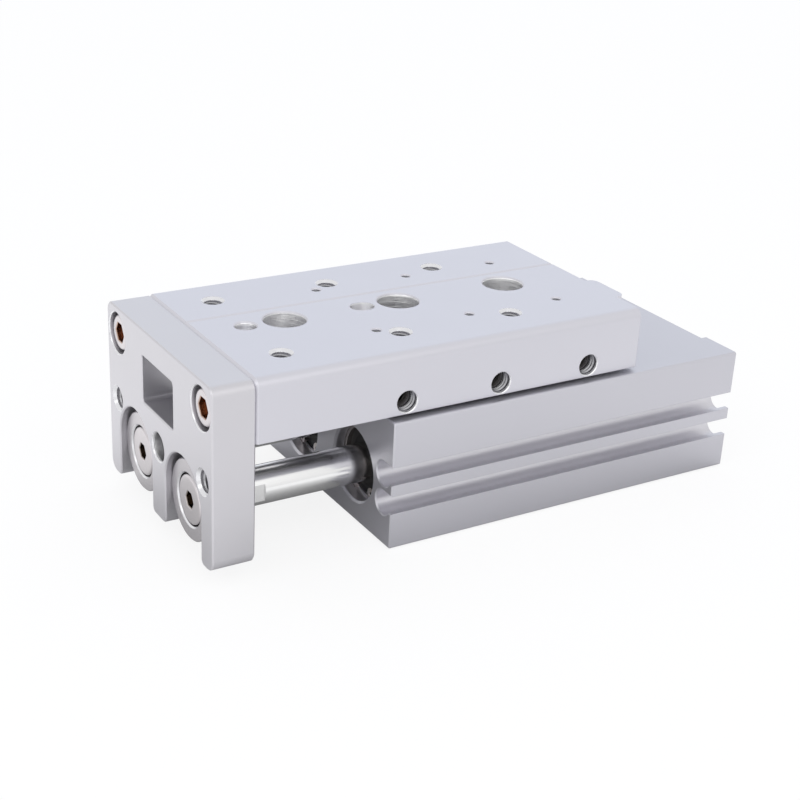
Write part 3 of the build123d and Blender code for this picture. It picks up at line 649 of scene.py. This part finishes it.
table_low, table_high = box_mm("slide_table")
plate_low, plate_high = box_mm("end_plate")
body_far_side = box_mm("cylinder_body")[1][1]
table_front, table_top, plate_front = table_low[0], table_high[2], plate_low[0]
top_places = [table_front + TOP_START + TOP_STEP * i for i in range(3)]
screw_places = [table_front + SCREW_START + SCREW_STEP * i for i in range(3)]
top_holes = [((x, side * TOP_SIDE, table_top), DOWN) for x in top_places for side in SIDES]
side_holes = [((x, table_low[1], SIDE_HEIGHT), TO_FAR_SIDE) for x in screw_places]
small_holes = [((x, side * SCREW_SIDE, table_top), DOWN) for x in screw_places for side in SIDES]
plate_holes = [((plate_front, side * PLATE_THREAD_SIDE, PLATE_THREAD_HEIGHT), REARWARD) for side in SIDES]
base_holes = [((x, y, 0.0), UP) for x in (-BASE_X, BASE_X) for y in (-BASE_Y, BASE_Y)]
port_holes = [((x, body_far_side, ROD_HEIGHT), TO_NEAR_SIDE) for x in PORT_PLACES]
access_holes = [((x, 0.0, table_top), DOWN) for x in (-2 * TOP_STEP, -TOP_STEP, 0.0)]
locating_hole = [((top_places[0], 0.0, table_top), DOWN)]
locating_slot = [((top_places[1], 0.0, table_top), DOWN)]
plate_bore = [((plate_front, 0.0, PLATE_BORE_HEIGHT), REARWARD)]
screw_height = plate_high[2] - PLATE_SCREW_DROP
plate_screw_holes = [((plate_front, side * PLATE_SCREW_SIDE, screw_height), REARWARD) for side in SIDES]
rod_ends = [((plate_front + BUSHING_RECESS, side * ROD_SIDE, ROD_HEIGHT), REARWARD) for side in SIDES]
print("top holes start at", [round(float(v), 2) for v in top_holes[0][0]])

# %% [markdown]
# The CAD holes are plain at the size of the tap drill. A real thread shows as a spiral of light and shadow
# inside them. A helix with a three-cornered section, whose base sits a little inside the wall, makes that
# spiral as a closed solid, and one function serves every tapped hole of the part.

# %% Screw threads
STEPS_PER_TURN = 28
THREAD_SINK = 0.04
THREAD_SECTION = (0.06, 0.45, 0.84)
RUN_OUT = 0.9
TAPER_RATE = 2.0
CORNERS = 3


def thread_points(mouth, direction, wall, pitch, start, depth, height):
    """Points of a helix: at turn t the section lies at angle 2 pi t and depth start + pitch t along direction.
    Its corners are two base points just outside the wall and one crest inside it, in the hole's own axes."""
    turns = (depth - start) / pitch - RUN_OUT
    t = np.linspace(0.0, turns, int(turns * STEPS_PER_TURN) + 1)
    taper = np.clip(np.minimum(t, turns - t) * TAPER_RATE, 0.0, 1.0)
    along = np.array(direction, float)
    side = np.cross(along, UP if abs(along[2]) < 0.5 else REARWARD)
    side /= np.linalg.norm(side)
    other = np.cross(along, side)
    ring = np.cos(2 * np.pi * t)[:, None] * side + np.sin(2 * np.pi * t)[:, None] * other
    base = np.full_like(t, wall + THREAD_SINK)
    corners = [
        np.array(mouth) + radius[:, None] * ring + (start + pitch * (t + rise))[:, None] * along
        for radius, rise in zip((base, wall - height * taper, base), THREAD_SECTION)
    ]
    return np.stack(corners, axis=1).reshape(-1, 3) * MM


def thread_piece(name, holes, body, slot, **sizes):
    """One mesh with the threads of several equal holes. A triangle closes each end of a spiral."""
    spirals = [thread_points(mouth, direction, **sizes) for mouth, direction in holes]
    count = len(spirals[0])
    ends = np.array([[2, 1, 0], [count - 3, count - 2, count - 1]])
    faces = repeat_faces(ring_faces(count // CORNERS, CORNERS), len(holes), count)
    faces += repeat_faces(ends, len(holes), count)
    piece = new_piece(name, np.concatenate(spirals), faces, smooth=False)
    piece.data.materials.append(FINISHES["cut_thread"])
    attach(piece, body)


print("helix with", STEPS_PER_TURN, "steps a turn")

# %% [markdown]
# Six groups of holes get their threads. wall is the radius of the drilled hole, start the depth below the
# mouth at which the countersink ends, and height how far the crest stands into the hole, all in mm. The
# spirals ride on the body that their holes are in.

# %% Threads in the holes
M5_THREAD = {"wall": 2.1, "pitch": 0.8, "height": 0.28}
SET_SCREW_THREAD = {"wall": 2.5, "pitch": 0.8, "height": 0.30}
SMALL_THREAD = {"wall": 1.05, "pitch": 0.45, "height": 0.14}
M6_THREAD = {"wall": 2.5, "pitch": 1.0, "height": 0.32}

thread_piece("table_top_threads", top_holes, "table", "anodised_table", start=0.6, depth=6.2, **M5_THREAD)
thread_piece("table_side_threads", side_holes, "table", "anodised_table", start=0.3, depth=3.6,
             **SET_SCREW_THREAD)
thread_piece("rail_screw_threads", small_holes, "table", "anodised_table", start=0.3, depth=3.0,
             **SMALL_THREAD)
thread_piece("plate_threads", plate_holes, "table", "anodised_plate", start=0.8, depth=10.0, **M6_THREAD)
thread_piece("base_threads", base_holes, "cylinder", "anodised_body", start=0.1, depth=6.0, **M5_THREAD)
thread_piece("port_threads", port_holes, "cylinder", "anodised_body", start=0.1, depth=6.0, **M5_THREAD)
print("thread pieces made")

# %% [markdown]
# A countersink is cut after the grey anodic skin has grown, so its bare cone is brighter than the face round
# it, and its colour is painted brighter still, as a painted highlight. In a photograph it is the thin bright
# crescent at each hole. A ring with a three-cornered section, laid two hundredths of a millimetre over the
# CAD cone, carries this second finish without a change to the node.

# %% Rings at the holes
RING_COLUMNS = 72
RISE = 0.02
MOUTH_GAP = 0.003
SHARP_ANGLE = math.radians(35.0)


def ring_points(mouth, direction, section, stretch):
    """Rings of points round a hole, one for each (radius, depth) of the section. The point at angle t is
    mouth + depth * direction + radius * (cos t * side + sin t * upward), and a slot adds stretch upward."""
    axis = np.array(direction, float)
    side = np.array(TO_FAR_SIDE if abs(axis[1]) < 0.5 else REARWARD)
    upward = np.cross(axis, side)
    t = (np.arange(RING_COLUMNS) * 2 * np.pi / RING_COLUMNS)[None, :, None]
    radii, depths = np.array(section).T[:, :, None, None]
    points = np.array(mouth) + depths * axis + radii * (np.cos(t) * side + np.sin(t) * upward)
    points += stretch * np.sign(np.round(np.sin(t), 6)) * upward
    return points.reshape(-1, 3) * MM


def ring_piece(name, holes, section, finish_name="turned_rim", stretch=0.0):
    """One mesh with an equal ring of three-cornered section at each hole of the table or the end plate."""
    points = [ring_points(mouth, direction, section, stretch) for mouth, direction in holes]
    quads = ring_faces(CORNERS, RING_COLUMNS, closed=True)
    piece = new_piece(name, np.concatenate(points), repeat_faces(quads, len(holes), len(points[0])))
    piece.data.set_sharp_from_angle(angle=SHARP_ANGLE)
    piece.data.materials.append(FINISHES[finish_name])
    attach(piece, "table")


def cone(radius, size):
    """The section of a countersink: its wide end, its narrow end, and a corner inside the metal."""
    return [(radius + size - RISE, MOUTH_GAP), (radius - RISE, size), (radius + size, size)]


ring_piece("table_top_rims", top_holes, cone(2.1, 0.7))
ring_piece("table_side_rims", side_holes, cone(2.5, 0.3))
ring_piece("plate_rims", plate_holes, cone(2.5, 0.75))
ring_piece("plate_screw_rims", plate_screw_holes, cone(4.9, 0.3))
ring_piece("plate_bore_rim", plate_bore, cone(3.3, 0.4))
ring_piece("rod_end_rims", rod_ends, cone(6.1, 0.4))
print("rims made")

# %% [markdown]
# The wide access holes and the locating holes are bored, and their walls carry fine rings and a colour that
# is painted brighter, as painted light. The same ring of three corners makes such a wall, when two corners
# lie along it and the third one in the metal. The second locating hole is a short slot, so its ring is
# pulled apart by half a millimetre on either side.

# %% Bored walls
WALL_SINK = 0.3
SLOT_STRETCH = 0.5


def wall(radius, start, end):
    """The section of a bored wall: two ends in the hole and a corner inside the metal."""
    return [(radius - RISE, start), (radius - RISE, end), (radius + WALL_SINK, (start + end) / 2)]


ring_piece("access_walls", access_holes, wall(5.0, 0.35, 5.0), "bored_wall")
ring_piece("locating_wall", locating_hole, wall(2.5, 0.4, 3.4), "bored_wall")
ring_piece("locating_slot_wall", locating_slot, wall(2.5, 0.1, 3.4), "bored_wall", stretch=SLOT_STRETCH)
ring_piece("plate_bore_wall", plate_bore, wall(3.3, 0.45, 6.8), "bored_front")
print("bored walls made")

# %% [markdown]
# The screws in the end plate are the first thing one sees, so they get what a real socket head cap screw
# has: straight knurling round the head, a rolled rim and a hexagon socket with a broken edge. The head is a
# surface of revolution whose radius also depends on the angle, built as a stack of rings from the middle of
# its seat, up its side and down into the socket.

# %% Heads of cap screws
HEAD_COLUMNS = 192
KNURLS, KNURL_DEPTH = 48, 0.10
RIM_SHARE = 0.16
SOCKET_FLOOR_SHARE = 0.45
BROKEN_EDGE, BROKEN_DEPTH = 0.30, 0.22


def ring_stack(rings, columns):
    """Points (radius cos t, radius sin t, height) of rings given as (radius, height). Either may be one number
    or an array with a value for each column, at the angle t."""
    turn = np.arange(columns) * 2 * np.pi / columns
    rows = []
    for radius, height in rings:
        r, h = np.broadcast_to(radius, columns), np.broadcast_to(height, columns)
        rows.append(np.stack([r * np.cos(turn), r * np.sin(turn), h], axis=1))
    return np.concatenate(rows)


def head_rings(radius, height, hexagon):
    """Rings of a knurled head, outside and inside its socket. The knurled radius is radius - depth
    (1 - cos(48 t)) / 2, and the hexagon's at angle t is its half width over cos(t mod 60 - 30 degrees)."""
    t = np.arange(HEAD_COLUMNS) * 2 * np.pi / HEAD_COLUMNS
    knurl = radius - KNURL_DEPTH * (0.5 - 0.5 * np.cos(KNURLS * t))
    flat = hexagon / 2 / np.cos(np.mod(t, np.pi / 3) - np.pi / 6)
    rim = RIM_SHARE * height
    outside = [(0.0, 0.0), (0.6 * radius, 0.0), (radius - 0.25, 0.0), (knurl, 0.2), (knurl, 0.5 * height)]
    outside += [(knurl, height - 1.3 * rim), (radius - 0.02, height - 1.15 * rim)]
    for a in np.linspace(0.15, 1.0, 6) * np.pi / 2:
        outside.append((radius - rim * (1 - math.cos(a)), height - rim * (1 - math.sin(a))))
    outside += [(0.85 * (radius - rim), height), (flat + BROKEN_EDGE, height)]
    bottom = height * SOCKET_FLOOR_SHARE
    inside = [(flat, height - BROKEN_DEPTH), (flat, 0.5 * (height + bottom)), (flat, bottom)]
    inside += [(0.5 * flat, bottom - 0.25), (0.0, bottom - 0.5)]
    return outside, inside


print("heads have", KNURLS, "knurls")

# %% [markdown]
# The shank is a stack of rings too. Its radius swings between crest and root with the height, and the
# swing starts a little later at each angle, which turns rings into a screw thread.

# %% Shanks of cap screws
SHANK_COLUMNS = 40
RINGS_PER_PITCH = 8
THREAD_DEPTH_SHARE = 0.55
SHANK_OVERLAP = 0.3
TIP_SHARE = 0.86


def shank_rings(radius, length, pitch):
    """Rings of a threaded shank from its tip at height -length up to the seat. The radius swings between crest
    and root as a triangle wave of height over pitch minus angle over a full turn, which is a helix."""
    t = np.arange(SHANK_COLUMNS) / SHANK_COLUMNS
    depth = THREAD_DEPTH_SHARE * pitch
    rings = [(0.0, -length)]
    for h in np.linspace(-length, SHANK_OVERLAP, int(length / pitch * RINGS_PER_PITCH)):
        wave = np.abs(2 * np.mod(h / pitch - t, 1.0) - 1)
        taper = min(1.0, (h + length) / pitch + 0.25)
        rings.append(((radius - depth * wave) * (TIP_SHARE + (1 - TIP_SHARE) * taper), h))
    return rings + [(0.0, SHANK_OVERLAP)]


print("shanks have", RINGS_PER_PITCH, "rings to a pitch")

# %% [markdown]
# A screw stands in its CAD box: the top of its head is the front of that box. The new pieces take the place
# of the CAD screws in the picture, and an attribute marks the points of the socket for the oil.

# %% Cap screws in their places
PLATE_HEAD = {"radius": 4.25, "height": 5.0, "hexagon": 4.3}
ROD_HEAD_HEIGHT, ROD_HEXAGON = 3.6, 3.5


def cap_screws(name, replaced, tops, finish_name, head, shank):
    """Screws with their axes along X and the middle of their head tops at the places tops, in mm."""
    outside, inside = head_rings(**head)
    head_points = ring_stack(outside + inside, HEAD_COLUMNS)
    rings = shank_rings(**shank)
    shank_points = ring_stack(rings, SHANK_COLUMNS)
    local = np.concatenate([head_points, shank_points])
    quads = np.concatenate([
        ring_faces(len(outside + inside), HEAD_COLUMNS),
        ring_faces(len(rings), SHANK_COLUMNS) + len(head_points),
    ])
    mark = np.zeros(len(local))
    mark[len(outside) * HEAD_COLUMNS:len(head_points)] = 1.0
    turned = np.stack([head["height"] - local[:, 2], -local[:, 0], local[:, 1]], axis=1)
    points = [(turned + np.array(top)) * MM for top in tops]
    piece = new_piece(name, np.concatenate(points), repeat_faces(quads, len(tops), len(local)))
    in_socket = piece.data.attributes.new("in_socket", "FLOAT", "POINT")
    in_socket.data.foreach_set("value", np.tile(mark, len(tops)))
    piece.data.set_sharp_from_angle(angle=SHARP_ANGLE)
    piece.data.materials.append(FINISHES[finish_name])
    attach(piece, "table")
    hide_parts(replaced)


low, high = box_mm("end_plate_screws")
ends = (low[1] + PLATE_HEAD["radius"], high[1] - PLATE_HEAD["radius"])
tops = [(low[0], y, (low[2] + high[2]) / 2) for y in ends]
shank = {"radius": 2.5, "length": high[0] - low[0] - PLATE_HEAD["height"], "pitch": 0.8}
cap_screws("plate_cap_screws", "end_plate_screws", tops, "cap_screw", PLATE_HEAD, shank)
for side in ("near", "far"):
    low, high = box_mm("rod_end_screw_" + side)
    tops = [(low[0], (low[1] + high[1]) / 2, (low[2] + high[2]) / 2)]
    head = {"radius": (high[1] - low[1]) / 2, "height": ROD_HEAD_HEIGHT, "hexagon": ROD_HEXAGON}
    shank = {"radius": 3.0, "length": high[0] - low[0] - ROD_HEAD_HEIGHT, "pitch": 1.0}
    cap_screws("rod_cap_screw_" + side, "rod_end_screw_" + side, tops, "rod_screw", head, shank)
print("cap screws made")
